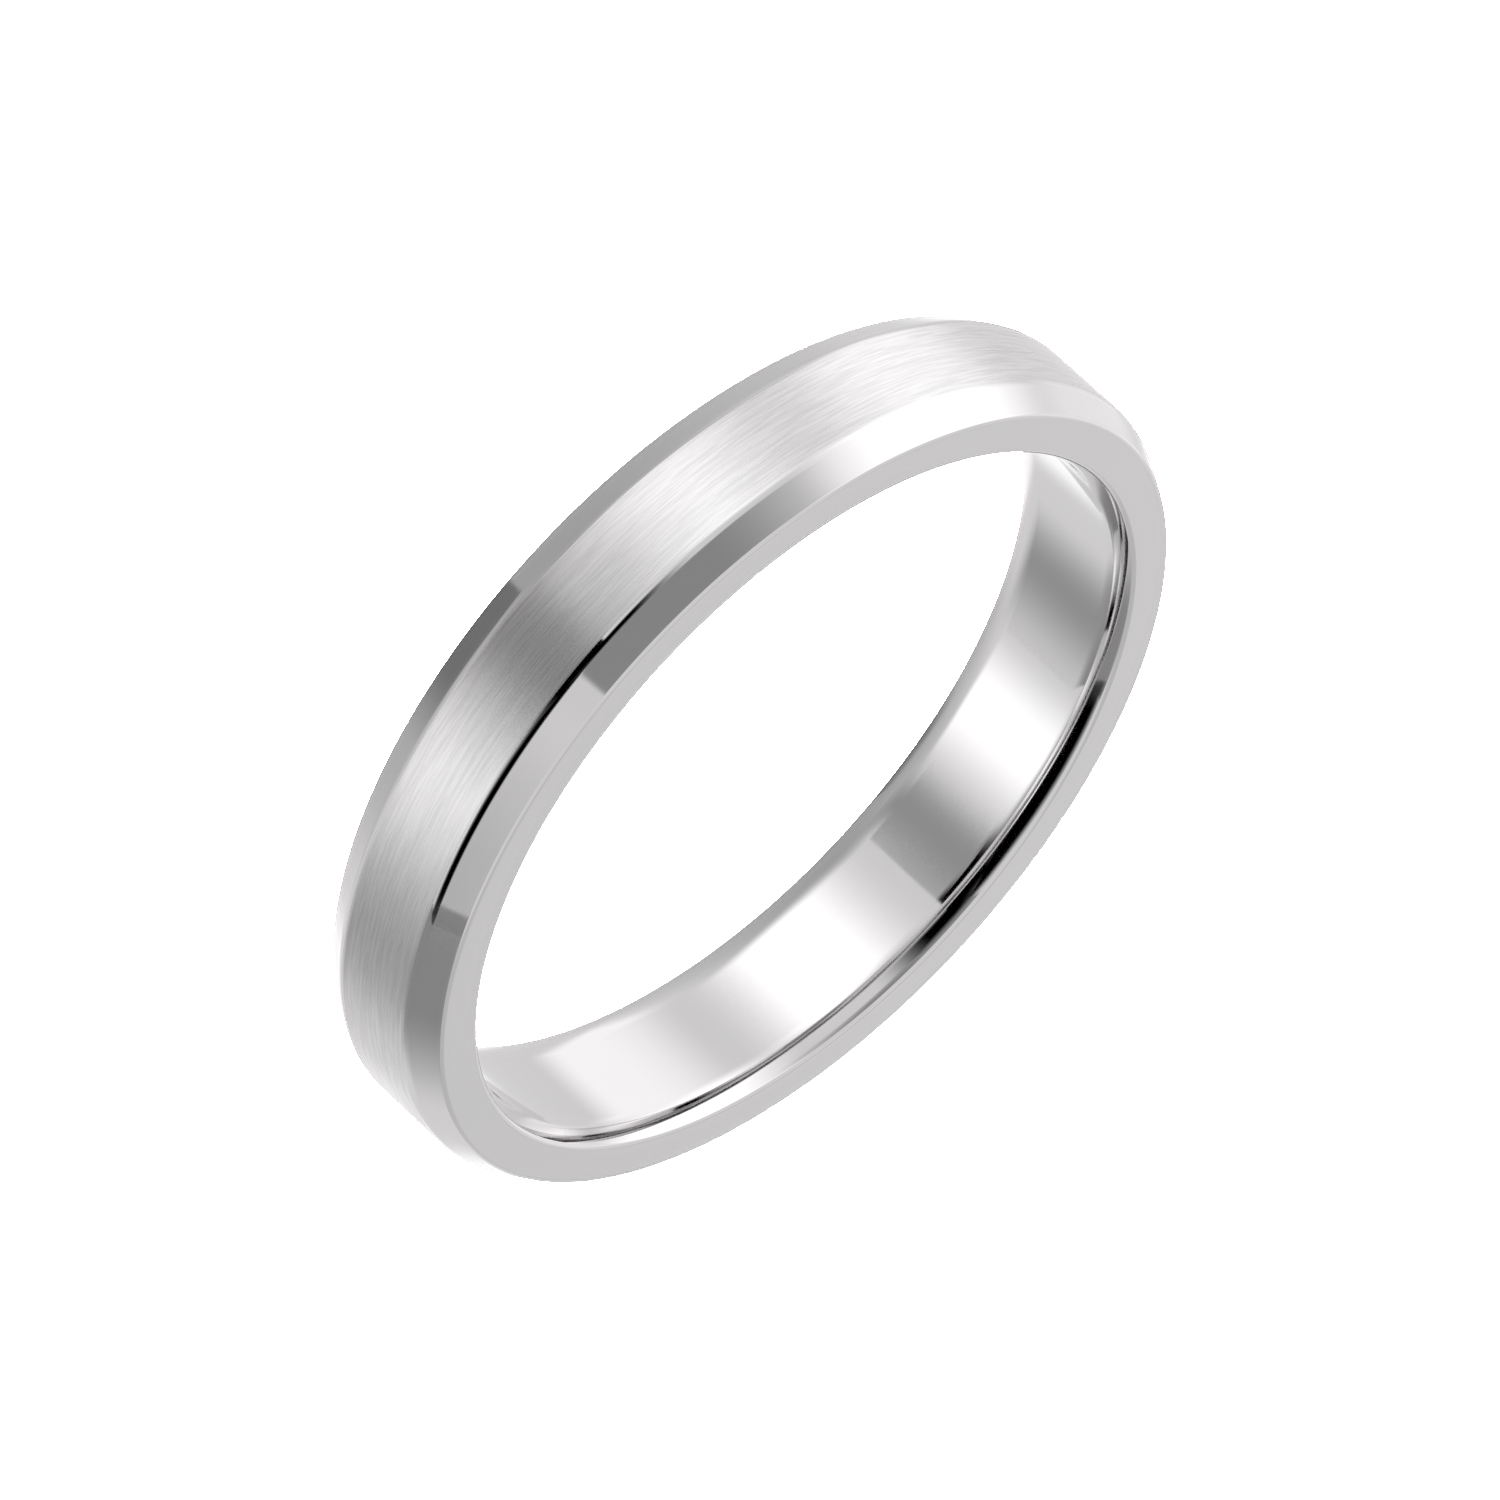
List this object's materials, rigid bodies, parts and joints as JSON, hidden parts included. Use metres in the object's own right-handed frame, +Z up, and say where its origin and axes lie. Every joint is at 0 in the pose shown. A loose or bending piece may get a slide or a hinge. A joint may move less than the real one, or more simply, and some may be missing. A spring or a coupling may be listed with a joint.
{
  "type": "wedding band",
  "caption": "Plain comfort-fit finger ring with a flat satin crown between two polished bevels and flat polished sides.",
  "frame": {"origin": "centre of the bore, which is also the centre of the whole ring", "axes": "+Y along the finger axis, +Z up with the band standing on its rim, +X to the side"},
  "size_m": [0.0238, 0.004, 0.0238],
  "materials": {
    "white_gold": "mirror-polished bevels, sides and bore; crown satin-brushed along its length"
  },
  "bodies": {
    "root": {"band": "white_gold"}
  },
  "joints": []
}
